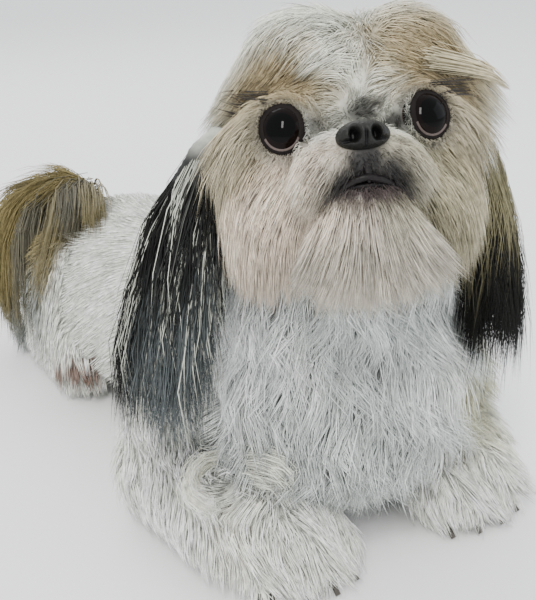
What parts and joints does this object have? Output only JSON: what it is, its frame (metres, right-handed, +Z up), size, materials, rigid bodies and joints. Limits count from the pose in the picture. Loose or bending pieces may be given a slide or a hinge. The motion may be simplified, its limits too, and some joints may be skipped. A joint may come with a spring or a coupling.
{
  "type": "shih tzu model",
  "caption": "Life-size still model of a long-haired small dog lying on its chest, head raised and turned to its right, ears hanging, plumed tail curled aside.",
  "frame": {"origin": "on the floor, under the middle of the model's box", "axes": "+Z up, -Y the way the body faces, +X towards the dog's left"},
  "size_m": [0.2532, 0.5002, 0.296],
  "materials": {
    "eye": "wet gloss, near black",
    "nose_leather": "moist pebbled skin, grey black",
    "coat_beard": "long fine hair, grey-beige",
    "coat_head": "long fine hair, cream with grey and tan",
    "coat_ear": "long straight hair, black and blue grey",
    "coat_neck": "long wavy hair, pale grey",
    "coat_body": "short smooth hair on the back, long on the chest, cream",
    "coat_foreleg": "fluffy hair, cream white",
    "coat_hindleg": "fluffy hair, cream white",
    "coat_tail": "long hair, olive brown"
  },
  "bodies": {
    "root": {"eye_right": "eye", "eye_left": "eye", "nose": "nose_leather", "lower_jaw": "coat_beard", "head": "coat_head", "ear_right": "coat_ear", "ear_left": "coat_ear", "neck": "coat_neck", "torso": "coat_body", "foreleg_right": "coat_foreleg", "foreleg_left": "coat_foreleg", "hindleg_right": "coat_hindleg", "hindleg_left": "coat_hindleg", "tail": "coat_tail"}
  },
  "joints": []
}
